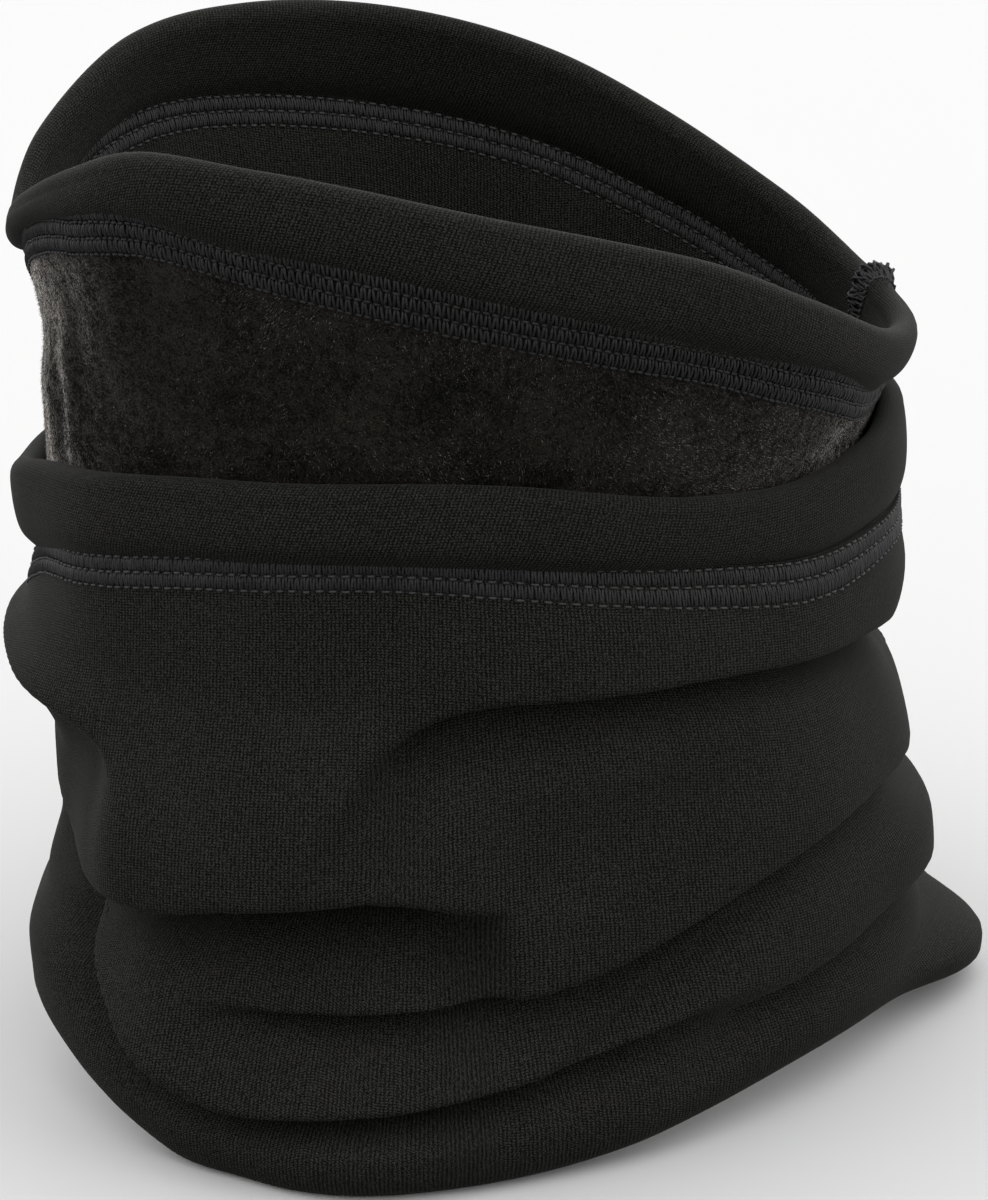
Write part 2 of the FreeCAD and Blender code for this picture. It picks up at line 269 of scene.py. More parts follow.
def slouch(angle, height):
    """How far the leaf stands out before it folds, eased from one level of SLOUCH to the next."""
    rows = np.array([ring_curve(angle, points) for _, points in SLOUCH])
    levels = np.array([level for level, _ in SLOUCH], float)
    height = np.clip(height, levels[0], levels[-1])
    cell = np.clip(np.searchsorted(levels, height, side="right") - 1, 0, len(levels) - 2)
    share = (height - levels[cell]) / (levels[cell + 1] - levels[cell])
    share = share * share * (3 - 2 * share)
    column = np.broadcast_to(np.arange(rows.shape[-1]), height.shape)
    return rows[cell, column] * (1 - share) + rows[cell + 1, column] * share


def ripple(angle, height, waves, size, seed):
    """A gentle unevenness: a sum of waves round and up the tube."""
    draw = np.random.default_rng(seed)
    total = np.zeros(np.broadcast(angle, height).shape)
    for _ in range(waves):
        turns = draw.integers(2, 13)
        rise = draw.uniform(-0.09, 0.09)
        total += np.sin(np.radians(angle) * turns + height * rise + draw.uniform(0, 2 * math.pi))
    return size * total / math.sqrt(waves)


def place(angle, stand, height):
    """Points at an angle round the neck, a distance out from the cuff's oval and a height."""
    turn = np.radians(angle)
    return np.stack([(HALF_WIDTH + stand) * np.sin(turn), -(HALF_DEPTH + stand) * np.cos(turn),
                     height + 0 * turn], -1)


def leaf_ripple(angle, height):
    """The unevenness that the outer leaf and its cuff share."""
    return ripple(angle, height, 9, 0.45, 3)


def outer_leaf(angle, height):
    """How far the outer leaf's knit side stands out, and how high it lies once its folds hang down."""
    stand = slouch(angle, height) + leaf_ripple(angle, height)
    drop = np.zeros(height.shape)
    for fold in FOLDS.values():
        strength = fold_curve(angle, fold["strength"])
        strength = np.where(strength < 1e-4, 0, strength)
        above_lip = height - (fold_curve(angle, fold["line"]) + fold["sag"] * strength)
        below = along_fold(fold["below"], angle)
        lip = bell(above_lip, fold["above"], 2.4)
        tuck = bell(above_lip + fold["depth"] + 2.0, fold["depth"] * 0.55, below)
        stand = stand + strength * (fold["lip"] * lip - fold["tuck"] * tuck)
        drop = drop + strength * fold["sag"] * bell(above_lip, fold["above"] * 0.55, 4.0)
    return stand, height - drop


ROOM_STEP = 1.0                  # millimetres of height, and degrees
PLENTY = 40.0                    # where the outer leaf doesn't reach, nothing holds the inner leaf in


def free_room():
    """The least that the outer leaf stands out, by height and by degree round the neck."""
    angle = np.arange(0, 360, ROOM_STEP)
    share = np.linspace(0, 1, 400)[:, None]
    top, bottom = outer_seam(angle) + SEAM_LAP, fold_start(angle)
    stand, level = outer_leaf(angle, top * (1 - share) + bottom * share)
    rows = int(RIM_CREST / ROOM_STEP)
    table = np.full((rows, len(angle)), PLENTY)
    cell = np.clip((level / ROOM_STEP).astype(int), 0, rows - 1)
    np.minimum.at(table, (cell, np.broadcast_to(np.arange(len(angle)), cell.shape)), stand)
    for _ in range(2):
        table = np.minimum(np.minimum(table, np.roll(table, 1, 1)), np.roll(table, -1, 1))
        table[1:-1] = np.minimum(np.minimum(table[:-2], table[2:]), table[1:-1])
    for _ in range(4):
        table = (table + np.roll(table, 1, 1) + np.roll(table, -1, 1)) / 3
        table[1:-1] = (table[:-2] + table[1:-1] + table[2:]) / 3
    return table


def room(angle, height):
    """free_room at any place."""
    column = np.mod(np.asarray(angle, float), 360) / ROOM_STEP
    row = np.clip(np.asarray(height, float) / ROOM_STEP - 0.5, 0, len(ROOM) - 1.001)
    column, row = np.broadcast_arrays(column, row)
    left, low = column.astype(int), row.astype(int)
    right = (left + 1) % ROOM.shape[1]
    left = left % ROOM.shape[1]
    across, up = column - np.floor(column), row - low
    return ((ROOM[low, left] * (1 - across) + ROOM[low, right] * across) * (1 - up)
            + (ROOM[low + 1, left] * (1 - across) + ROOM[low + 1, right] * across) * up)


def fold_start(angle):
    """Height at which the outer leaf's wall ends and the lower fold turns under."""
    return hem(angle) + ring_curve(angle, [(-24, 8), (40, 8), (110, 7), (150, 4.2), (185, 7), (240, 8)])


# --- The inner leaf and the cuffs ---
# Angle round the neck, and how far the inner leaf is drawn in (below 0) or let out there.
CHIN_PINCH = [(-60, -1.0), (-24, -5.6), (0, -2.8), (20, 0), (110, 0), (150, -3.6), (175, -1.0), (200, 1.0),
              (235, 1.0), (275, 0)]


def inner_leaf(angle, height):
    """How far the fleece side of the inner leaf stands out at a height."""
    under_rim = rim(angle) - height
    shown = hermite(under_rim, [-2, 3, 10, 14, 18, 25, 34, 60], [0.6, 1.0, 0.4, -0.4, -1.6, -3.6, -4.6, -5])
    shown = shown + ring_curve(angle, CHIN_PINCH) * hermite(under_rim, [0, 20, 36], [1.15, 1.1, 0.55])
    pleats = np.sin(np.radians(angle + 24) * 26 + 0.06 * height) + 0.5 * np.sin(np.radians(angle) * 43)
    shown = shown + 0.55 * pleats * np.exp(-((half_turn(angle) + 8) / 13) ** 2) * bell(under_rim - 38, 16, 17)
    over_cuff = height - outer_cuff_top(angle)
    held_in = hermite(over_cuff, [-95, -70, -24, -6, 2, 8, 16], [-14, -14.5, -11.5, -7.8, -5.2, -1, 5])
    stand = smooth_min(shown, held_in, 2.0)
    low = slouch(angle, np.maximum(height, 8.0)) - 7.5
    share = np.clip((height - 12) / 22, 0, 1)
    share = share * share * (3 - 2 * share)
    lean = ripple(angle, height, 7, 0.5, 11)
    stand = low * (1 - share) + (stand + lean) * share
    return smooth_min(stand, room(angle, height) - FABRIC_THICK - 0.8, 1.5)


ROOM = free_room()


def lathe_normals(points):
    """Outward normals of a closed grid, rows down and columns round the neck."""
    round_neck = np.roll(points, -1, 1) - np.roll(points, 1, 1)
    down = np.gradient(points, axis=0)
    normal = -np.cross(round_neck, down)
    return normal / np.maximum(np.linalg.norm(normal, axis=-1, keepdims=True), 1e-9)


def soften(grid, passes):
    """Round off a grid, its first and last rows only along themselves."""
    for _ in range(passes):
        smooth = (grid + np.roll(grid, 1, 1) + np.roll(grid, -1, 1)) / 3
        inside = (smooth[:-2] + smooth[1:-1] + smooth[2:]) / 3
        grid = np.concatenate([smooth[:1], inside, smooth[-1:]])
    return grid


def columns(count):
    return np.arange(count) * 360.0 / count


def outer_rows(angle, count):
    """Rows down the outer leaf's knit side."""
    top, bottom = outer_seam(angle) + SEAM_LAP, fold_start(angle)
    share = np.linspace(0, 1, count)[:, None]
    stand, height = outer_leaf(angle, top * (1 - share) + bottom * share)
    return place(angle, stand, height)


def turn_under(start, end, lowest, count):
    """Rows of the lower fold, from one wall's last row to the next wall's first."""
    swing = np.linspace(0, math.pi, count + 2)[1:-1, None, None]
    middle, half = (start + end) / 2, (start - end) / 2
    level = (1 + np.cos(swing)) / 2 * start[..., 2:] + (1 - np.cos(swing)) / 2 * end[..., 2:]
    rows = middle + half * np.cos(swing)
    rows[..., 2:] = level - (level - lowest[:, None]) * np.sin(swing) ** 0.8
    return rows


def inner_rows(angle, count, inset):
    """Rows up the inner leaf, inset from its fleece side."""
    bottom, top = fold_start(angle), inner_seam(angle) + SEAM_LAP
    share = np.linspace(0, 1, count)[:, None]
    height = bottom * (1 - share) + top * share
    return place(angle, inner_leaf(angle, height) - inset, height)


# --- Meshes ---
def joined_uv(mesh, uv):
    """Carry the cloth's pattern on across the faces that close the round, instead of back to its start."""
    starts = np.array([polygon.loop_start for polygon in mesh.polygons])
    sizes = np.array([polygon.loop_total for polygon in mesh.polygons])
    furthest = np.repeat(np.maximum.reduceat(uv[:, 0], starts), sizes)
    uv[:, 0] += np.where(uv[:, 0] < furthest - GIRTH / 2 * MM, GIRTH * MM, 0)
    return uv


def new_piece(name, points, faces, material, uv=None):
    mesh = bpy.data.meshes.new(name)
    points = np.asarray(points, float).reshape(-1, 3) * MM
    mesh.from_pydata(points.tolist(), [], faces)
    mesh.validate()
    if uv is not None:
        layer = mesh.uv_layers.new(name="cloth")
        corners = np.empty(len(mesh.loops), np.int32)
        mesh.loops.foreach_get("vertex_index", corners)
        layer.data.foreach_set("uv", joined_uv(mesh, np.asarray(uv, float)[corners]).ravel())
    mesh.polygons.foreach_set("use_smooth", [True] * len(mesh.polygons))
    mesh.materials.append(material)
    mesh.update()
    piece = bpy.data.objects.new(name, mesh)
    bpy.context.scene.collection.objects.link(piece)
    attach(piece, "root")
    return piece


def grid_faces(rows, cols, first=0, flip=False):
    """Quads between a grid's rows, closed round the neck."""
    faces = []
    for row in range(rows - 1):
        here, below = first + row * cols, first + (row + 1) * cols
        for col in range(cols):
            right = (col + 1) % cols
            face = (here + col, here + right, below + right, below + col)
            faces.append(face[::-1] if flip else face)
    return faces


def edge_faces(fine, coarse, cols, flip):
    """Close the gap between a fine row and one with half its columns."""
    faces = []
    half = cols // 2
    for col in range(half):
        here, middle = fine + 2 * col, fine + 2 * col + 1
        beyond = fine + (2 * col + 2) % cols
        under, next_under = coarse + col, coarse + (col + 1) % half
        pair = [(here, under, middle), (middle, under, next_under, beyond)]
        faces += [face[::-1] for face in pair] if flip else pair
    return faces


def cloth_uv(points):
    """Where a closed grid's points lie on the flat cloth, in metres: round the girth, and down."""
    rows, cols, _ = points.shape
    around = np.broadcast_to(np.arange(cols) * GIRTH / cols, (rows, cols))
    steps = np.linalg.norm(np.diff(points, axis=0), axis=-1)
    down = np.concatenate([np.zeros((1, cols)), np.cumsum(steps, 0)])
    return np.stack([around, down], -1) * MM


def cloth_sheet(name, face, thick, material, softness=2):
    """A closed sheet: a fine grid for the side that shows, and a coarser one thick behind it."""
    rows, cols, _ = face.shape
    behind = soften(face, softness)
    behind = behind - lathe_normals(behind) * thick
    kept = list(range(0, rows - 1, 2)) + [rows - 1]
    behind = behind[kept][:, ::2]
    uv_face = cloth_uv(face)
    uv_behind = uv_face[kept][:, ::2]
    points = np.concatenate([face.reshape(-1, 3), behind.reshape(-1, 3)])
    uv = np.concatenate([uv_face.reshape(-1, 2), uv_behind.reshape(-1, 2)])
    offset = rows * cols
    faces = grid_faces(rows, cols, flip=True)
    faces += grid_faces(len(kept), cols // 2, offset)
    faces += edge_faces(0, offset, cols, flip=False)
    faces += edge_faces((rows - 1) * cols, offset + (len(kept) - 1) * cols // 2, cols, flip=True)
    return new_piece(name, points, faces, material, uv)


# --- Materials ---
def shader(name, roughness, sheen, sheen_tint, sheen_roughness):
    material = bpy.data.materials.new(name)
    material.use_nodes = True
    tree = material.node_tree
    surface = tree.nodes["Principled BSDF"]
    surface.inputs["Roughness"].default_value = roughness
    surface.inputs["Specular IOR Level"].default_value = 0.04
    surface.inputs["Sheen Weight"].default_value = sheen
    surface.inputs["Sheen Roughness"].default_value = sheen_roughness
    surface.inputs["Sheen Tint"].default_value = (*sheen_tint, 1)
    return material, tree, surface


def add(tree, kind, **values):
    """A node with some of its settings or input values set, by name."""
    node = tree.nodes.new(kind)
    for key, value in values.items():
        if hasattr(node, key):
            setattr(node, key, value)
        else:
            node.inputs[key.replace("_", " ")].default_value = value
    return node


def math_node(tree, operation, first, second):
    node = tree.nodes.new("ShaderNodeMath")
    node.operation = operation
    for index, value in enumerate((first, second)):
        if isinstance(value, (int, float)):
            node.inputs[index].default_value = value
        else:
            tree.links.new(value, node.inputs[index])
    return node.outputs[0]


def mix_colour(tree, factor, first, second):
    node = tree.nodes.new("ShaderNodeMix")
    node.data_type = "RGBA"
    for index, value in ((0, factor), (6, first), (7, second)):
        if isinstance(value, tuple):
            node.inputs[index].default_value = (*value, 1)
        else:
            tree.links.new(value, node.inputs[index])
    return node.outputs[2]


def noise(tree, vector, scale, detail=2.0, rough=0.5):
    node = add(tree, "ShaderNodeTexNoise", Scale=scale, Detail=detail, Roughness=rough)
    tree.links.new(vector, node.inputs["Vector"])
    return node.outputs["Fac"]


def blend(tree, parts, offset):
    """The sum of a few outputs, each times its weight, and an offset."""
    total = math_node(tree, "MULTIPLY", *parts[0])
    for part in parts[1:]:
        total = math_node(tree, "ADD", total, math_node(tree, "MULTIPLY", *part))
    return math_node(tree, "ADD", total, offset)


def bump(tree, height, strength, distance, surface):
    node = add(tree, "ShaderNodeBump", Strength=strength, Distance=distance)
    tree.links.new(height, node.inputs["Height"])
    tree.links.new(node.outputs["Normal"], surface.inputs["Normal"])


def jersey(name, colours, slant):
    """Fine jersey: upright columns of loops, leaning by slant, with the odd lighter loop."""
    material, tree, surface = shader(name, 0.85, 0.012, (0.75, 0.76, 0.72), 0.35)
    uv = add(tree, "ShaderNodeUVMap", uv_map="cloth").outputs["UV"]
    split = add(tree, "ShaderNodeSeparateXYZ")
    tree.links.new(uv, split.inputs[0])
    solid = add(tree, "ShaderNodeTexCoord").outputs["Object"]
    wobble = math_node(tree, "MULTIPLY", noise(tree, solid, 260.0, 1.0), 0.0004)
    across = math_node(tree, "ADD", split.outputs["X"], wobble)
    across = math_node(tree, "ADD", across, math_node(tree, "MULTIPLY", split.outputs["Y"], slant))
    wale = math_node(tree, "SINE", math_node(tree, "MULTIPLY", across, 2 * math.pi / WALE_PITCH), 0.0)
    course = math_node(tree, "SINE", math_node(tree, "MULTIPLY", split.outputs["Y"],
                                               2 * math.pi / COURSE_PITCH), 0.0)
    loops = math_node(tree, "MULTIPLY", math_node(tree, "ADD", wale, 1.0),
                      blend(tree, [(course, 0.45)], 0.55))
    speck = noise(tree, solid, 3900.0, 1.0, 0.7)
    broad = noise(tree, solid, 26.0, 3.0)
    tone = blend(tree, [(loops, 0.5), (speck, 3.3), (broad, 0.3)], -1.8)
    tree.links.new(mix_colour(tree, tone, *colours), surface.inputs["Base Color"])
    height = math_node(tree, "ADD", math_node(tree, "MULTIPLY", loops, 0.5), speck)
    bump(tree, height, 0.6, 0.00014, surface)
    return material


def pile(name, colours, bloom):
    """Brushed fleece: soft clumps and fine hairs, with a bloom that comes and goes with the nap."""
    material, tree, surface = shader(name, 0.95, bloom, (0.84, 0.78, 0.73), 0.3)
    solid = add(tree, "ShaderNodeTexCoord").outputs["Object"]
    cloud = noise(tree, solid, 55.0, 4.0, 0.6)
    clump = noise(tree, solid, 640.0, 2.0, 0.6)
    fibre = noise(tree, solid, 2900.0, 1.0, 0.7)
    tone = math_node(tree, "MAXIMUM", blend(tree, [(cloud, 1.5), (clump, 1.4), (fibre, 3.0)], -2.5), 0.0)
    tree.links.new(mix_colour(tree, tone, *colours), surface.inputs["Base Color"])
    tree.links.new(math_node(tree, "MULTIPLY", tone, bloom), surface.inputs["Sheen Weight"])
    height = math_node(tree, "ADD", clump, math_node(tree, "MULTIPLY", fibre, 0.6))
    bump(tree, height, 0.5, 0.0003, surface)
    return material


def thread(name, colours):
    """Twisted polyester: a little brighter and glossier than the cloth, uneven along its length."""
    material, tree, surface = shader(name, 0.6, 0.01, (0.8, 0.83, 0.9), 0.3)
    surface.inputs["Specular IOR Level"].default_value = 0.1
    solid = add(tree, "ShaderNodeTexCoord").outputs["Object"]
    twist = noise(tree, solid, 1900.0, 2.0, 0.7)
    broad = noise(tree, solid, 330.0, 2.0)
    tone = blend(tree, [(twist, 0.9), (broad, 0.7)], -0.42)
    tree.links.new(mix_colour(tree, tone, *colours), surface.inputs["Base Color"])
    bump(tree, twist, 0.5, 0.0001, surface)
    return material


# --- Body of the tube ---
def tube_knit_rows(count):
    angle = columns(count)
    outer = outer_rows(angle, OUTER_WALL)
    inner = inner_rows(angle, INNER_WALL, FABRIC_THICK)
    under = turn_under(outer[-1], inner[0], hem(angle), UNDER_FOLD)
    return np.concatenate([outer, under, inner])


def tube_fleece_rows(count):
    """Rows of the fleece: down the inner leaf that shows, then up the hidden side of the outer leaf."""
    angle = columns(count)
    bottom = fold_start(angle)
    share = np.linspace(0, 1, 40)[:, None]
    height = bottom * (1 - share) + (outer_seam(angle) + 2) * share
    behind = inner_leaf(angle, height) + 1.2
    near_seam = np.clip((height - outer_seam(angle) + 12) / 10, 0, 1)
    back = place(angle, behind * (1 - near_seam) + (slouch(angle, height) - 3.6) * near_seam, height)
    top = inner_seam(angle) + LOOPER_HALF
    shown_foot = outer_cuff_top(angle) - 12
    share = np.linspace(0, 1, 76)[:, None]
    shown = top * (1 - share) + shown_foot * share
    share = np.linspace(0, 1, 18)[1:, None]
    hidden = shown_foot * (1 - share) + bottom * share
    height = np.concatenate([shown, hidden])
    inner = place(angle, inner_leaf(angle, height), height)
    return inner, back, angle


def clumps(angle, height, size, seed):
    """Uneven tufts of pile, from a few crossed waves."""
    draw = np.random.default_rng(seed)
    total = np.zeros(np.broadcast(angle, height).shape)
    for _ in range(26):
        turns = draw.integers(25, 190)
        rise = draw.uniform(-1.6, 1.6)
        total += np.sin(np.radians(angle) * turns + height * rise + draw.uniform(0, 6.28))
    return size * total / math.sqrt(26)


def build_body(knit_material, pile_material):
    knit = cloth_sheet("tube_knit", tube_knit_rows(AROUND), KNIT_THICK, knit_material)
    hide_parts("body_knit_face")
    inner, back, angle = tube_fleece_rows(AROUND)
    fluff = clumps(angle, inner[..., 2], 0.04, 21)
    fade = np.clip(np.arange(len(inner)) / 6.0, 0, 1)[:, None]
    inner = inner + lathe_normals(inner) * (fluff * fade - 0.05)[..., None]
    under = turn_under(inner[-1], back[0], hem(angle) + 4.2, 9)
    rows = np.concatenate([inner, under, back])
    fleece = cloth_sheet("tube_fleece", rows[::-1], -(FABRIC_THICK - KNIT_THICK - 0.1), pile_material)
    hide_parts("body_fleece_back")
    return knit, fleece


# --- Cuffs ---
def cuff_profile():
    """A doubled band's section, from the foot of its outside over its rounded top to the foot inside.

    Each row is how far it stands out, how far up it is as a share, and how far over its top in mm.
    """
    half = CUFF_THICK / 2
    rise = np.linspace(0, 1, 30)
    swell = CUFF_SWELL * np.sin(np.pi * rise) ** 0.8
    outside = [(half + grow, share, 0.0) for grow, share in zip(swell, rise)]
    over = [(half * math.cos(a), 1.0, half * 1.15 * math.sin(a))
            for a in np.linspace(0, math.pi, 13)[1:-1]]
    inside = [(-half - SWELL_INSIDE * grow, share, 0.0) for grow, share in zip(swell[::-1], rise[::-1])]
    return np.array(outside + over + inside)


def cuff_rows(foot, top, middle, profile, pinch):
    """A band from its foot line to its top line; middle(share) is where its middle stands."""
    out, share, over = profile[:, 0:1], profile[:, 1:2], profile[:, 2:3]
    body_top = top - CUFF_CROWN
    level = foot + (body_top - foot) * share + over
    squeeze = 1 - pinch * np.exp(-(share / 0.2) ** 2)
    return middle(share) + out * squeeze, level


def outer_cuff_middle(angle):
    lean = ring_curve(angle, [(-60, 4.0), (-26, 5.2), (0, 0.0), (40, -0.6), (80, -0.3), (120, -0.5),
                              (155, 0.2), (200, -1.5), (260, -2.0)])
    foot = ring_curve(angle, [(-60, -5.0), (-26, -6.8), (-8, -2.2), (10, 0), (130, -0.5), (150, -1.5),
                              (170, 0), (240, 0)])
    with_leaf = leaf_ripple(angle, outer_seam(angle))

    def middle(share):
        return -2.6 + foot + with_leaf + lean * share + 0.3 * share * ripple(angle, share * 20, 6, 1, 31)
    return middle


def inner_cuff_middle(angle):
    lean = ring_curve(angle, [(-60, -1.0), (-26, 3.4), (0, 1.2), (40, 0.6), (80, 0.8), (120, 1.8), (150, 3.8),
                              (172, 1.0), (200, -3.0), (235, -4.5), (265, -4.0)])
    pinch = ring_curve(angle, CHIN_PINCH)

    def middle(share):
        return -2.0 + pinch + lean * share + ripple(angle, share * 20, 6, 0.3, 37)
    return middle


def build_cuffs(knit_material, pile_material):
    angle = columns(AROUND)
    made = []
    profile = cuff_profile()
    bands = [("outer", outer_seam(angle) + 1.0, outer_cuff_top(angle), outer_cuff_middle(angle), 0.8),
             ("inner", inner_seam(angle) + 1.0, rim(angle), inner_cuff_middle(angle), 0.6)]
    for side, foot, top, middle, pinch in bands:
        stand, level = cuff_rows(foot, top, middle, profile, pinch)
        points = place(angle, stand, level)[::-1]
        piece = cloth_sheet("cuff_" + side + "_knit", points, KNIT_THICK, knit_material, 0)
        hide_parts(side + "_cuff_knit")
        core = points[3:-3] - lathe_normals(points)[3:-3] * (KNIT_THICK + 0.1)
        fill = cloth_sheet("cuff_" + side + "_fleece", core[:, ::2], 1.0, pile_material, 0)
        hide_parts(side + "_cuff_fleece")
        made += [piece, fill]
    return made


# --- Threads ---
DEGREES_PER_MM = 360.0 / GIRTH
THREAD = 0.24                    # radius of a needle thread
BULKY = 0.27                     # radius of the bulked thread of the cover and the loopers
HIDDEN_LOOPER, SHOWN_LOOPER = 1.2, 3.4   # looper crossings in one stitch, between the leaves and in sight
BACK_ROW, BACK_LOOPER = 1.6, 2.8         # half the width of the back seam's needle and looper sides
CLOSING_HALF = 2.8                       # half the width of a cuff's closing stitches
NUB_RUN = 8.5                            # how far the inner cuff's closing carries on over the rim


def radial(angle):
    turn = np.radians(angle)
    return np.stack([np.sin(turn), -np.cos(turn), 0 * turn], -1)


def outer_face(angle, height, lift):
    """The knit side of the outer leaf."""
    stand, level = outer_leaf(angle.ravel(), height.ravel())
    points = place(angle.ravel(), stand + lift.ravel(), level)
    return points.reshape(*angle.shape, 3), radial(angle)


def hidden_face(angle, height, lift):
    """The fleece side of the outer leaf, between the leaves."""
    points, outward = outer_face(angle, height, -FABRIC_THICK - lift)
    return points, -outward


def fleece_face(angle, height, lift):
    """The fleece side of the inner leaf."""
    stand = inner_leaf(angle.ravel(), height.ravel()) + lift.ravel()
    return place(angle.ravel(), stand, height.ravel()).reshape(*angle.shape, 3), radial(angle)


def neck_face(angle, height, lift):
    """The knit side of the inner leaf, towards the neck."""
    points, outward = fleece_face(angle, height, -FABRIC_THICK - lift)
    return points, -outward


def cuff_face(side, inward):
    """The face of a cuff band, outwards or towards the neck, and on over its rounded top."""
    seam, top = (outer_seam, outer_cuff_top) if side == "outer" else (inner_seam, rim)
    middle_of = outer_cuff_middle if side == "outer" else inner_cuff_middle

    def face(angle, height, lift):
        low, high = seam(angle), top(angle) - CUFF_CROWN
        share = np.clip((height - low) / (high - low), 0, 1)
        turn = np.clip((height - high) / (CUFF_THICK * 0.55), 0, math.pi)
        swell = CUFF_SWELL * np.sin(np.pi * share) ** 0.8 * (SWELL_INSIDE if inward else 1)
        half = CUFF_THICK / 2 + swell + lift
        sign = -1.0 if inward else 1.0
        stand = middle_of(angle)(share) + sign * half * np.cos(turn)
        outward = sign * radial(angle) * np.cos(turn)[..., None]
        outward[..., 2] += np.sin(turn)
        return place(angle, stand, np.minimum(height, high) + half * np.sin(turn)), outward
    return face


def round_track(seam):
    """Along is millimetres round the neck, across is millimetres above the seam's middle."""
    return lambda along, across: (along * DEGREES_PER_MM, seam(along * DEGREES_PER_MM) + across)


def upright_track(along, across):
    """Along is the height, across is millimetres to the wearer's right of the back seam's middle."""
    return NAPE + across * DEGREES_PER_MM, along + 0 * across


def dashes(face, track, start, end, across, pitch=STITCH_PITCH, half=0.68, lift=0.2):
    """Paths of the stitches of one row: each comes up, runs along the cloth and goes down again."""
    count = int(round((end - start) / pitch))
    middle = start + (np.arange(count)[:, None] + 0.5 + rng.uniform(-0.08, 0.08, (count, 1))) * (
        (end - start) / count)
    reach = np.array([-1, -0.62, 0, 0.62, 1]) * half * rng.uniform(0.85, 1.15, (count, 1))
    rise = np.array([-0.9, 0.55, 1.0, 0.55, -0.9]) * lift
    angle, height = track(middle + reach, across + rng.uniform(-0.09, 0.09, (count, 1)) + 0 * reach)
    return face(angle, height, rise + 0 * reach)


def rungs(face, track, start, end, low, high, per_stitch, lean, arch):
    """Paths of bulky thread crossing from one row to the next, each arched a little off the cloth."""
    count = int(round((end - start) / STITCH_PITCH * per_stitch))
    middle = start + (np.arange(count)[:, None] + 0.5 + rng.uniform(-0.16, 0.16, (count, 1))) * (
        (end - start) / count)
    share = np.linspace(0, 1, 6)
    sign = np.where(np.arange(count) % 2 == 0, 1.0, -1.0)[:, None]
    slant = (share - 0.5) * lean * (sign + rng.uniform(-0.35, 0.35, (count, 1)))
    across = low + (high - low) * share + rng.uniform(-0.1, 0.1, (count, 1))
    rise = arch * np.sin(np.pi * share) * rng.uniform(0.7, 1.25, (count, 1)) - 0.06
    angle, height = track(middle + slant, across)
    return face(angle, height, rise)


def strands(paths, radius, sides):
    """Points and faces of closed tubes along many short paths, drawn in at both ends."""
    middle, outward = paths
    along = np.gradient(middle, axis=1)
    along /= np.linalg.norm(along, axis=-1, keepdims=True)
    across = np.cross(along, outward)
    across /= np.linalg.norm(across, axis=-1, keepdims=True)
    up = np.cross(across, along)
    count, steps, _ = middle.shape
    swell = np.ones(steps)
    swell[[0, -1]] = 0.45
    turn = np.arange(sides) * 2 * math.pi / sides
    ring = (np.cos(turn)[:, None] * across[:, :, None] + np.sin(turn)[:, None] * up[:, :, None])
    points = middle[:, :, None] + radius * swell[:, None, None] * ring
    quads = [(step * sides + side, (step + 1) * sides + side,
              (step + 1) * sides + (side + 1) % sides, step * sides + (side + 1) % sides)
             for step in range(steps - 1) for side in range(sides)]
    caps = [tuple(range(sides)), tuple((steps - 1) * sides + side for side in reversed(range(sides)))]
    first = np.arange(count)[:, None, None] * steps * sides
    faces = (np.array(quads) + first).reshape(-1, 4).tolist()
    faces += (np.array(caps) + first).reshape(-1, sides).tolist()
    return points.reshape(-1, 3), faces


def thread_piece(name, node, groups, material, sides=5):
    """One piece from several groups of (paths, radius)."""
    points, faces, total = [], [], 0
    for paths, radius in groups:
        more, more_faces = strands(paths, radius, sides)
        points.append(more)
        faces += [tuple(index + total for index in face) for face in more_faces]
        total += len(more)
    piece = new_piece(name, np.concatenate(points), faces, material)
    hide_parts(node)
    return piece


def flat_seam(side, face, behind, seam, materials, density):
    """A three-needle seam round the neck, with its cover thread, and its looper thread behind.

    density is how many times the looper thread crosses in one stitch.
    """
    track = round_track(seam)
    needle, bulky = materials
    made = []
    for name, across in (("upper", ROW_GAP), ("middle", 0.0), ("lower", -ROW_GAP)):
        paths = dashes(face, track, 0, GIRTH, across)
        made.append(thread_piece("%s_seam_needle_%s" % (side, name),
                                 "%s_seam_needle_thread_%s" % (side, name),
                                 [(paths, THREAD)], needle, 6))
    cover = []
    for low, high in ((0.1, ROW_GAP - 0.1), (-ROW_GAP + 0.1, -0.1)):
        cover.append((rungs(face, track, 0, GIRTH, low, high, 4.2, 0.2, 0.24), BULKY))
    made.append(thread_piece(side + "_seam_cover", side + "_seam_cover_thread", cover, bulky))
    looper = []
    lines = (-LOOPER_HALF, -LOOPER_HALF / 3, LOOPER_HALF / 3, LOOPER_HALF)
    for low, high in zip(lines, lines[1:]):
        looper.append((rungs(behind, track, 0, GIRTH, low + 0.1, high - 0.1, density, 0.3, 0.42), BULKY))
    for line in lines:
        looper.append((dashes(behind, track, 0, GIRTH, line, STITCH_PITCH * 2.4 / density, 0.6, 0.2), BULKY))
    made.append(thread_piece(side + "_seam_looper", side + "_seam_looper_thread", looper, bulky))
    return made


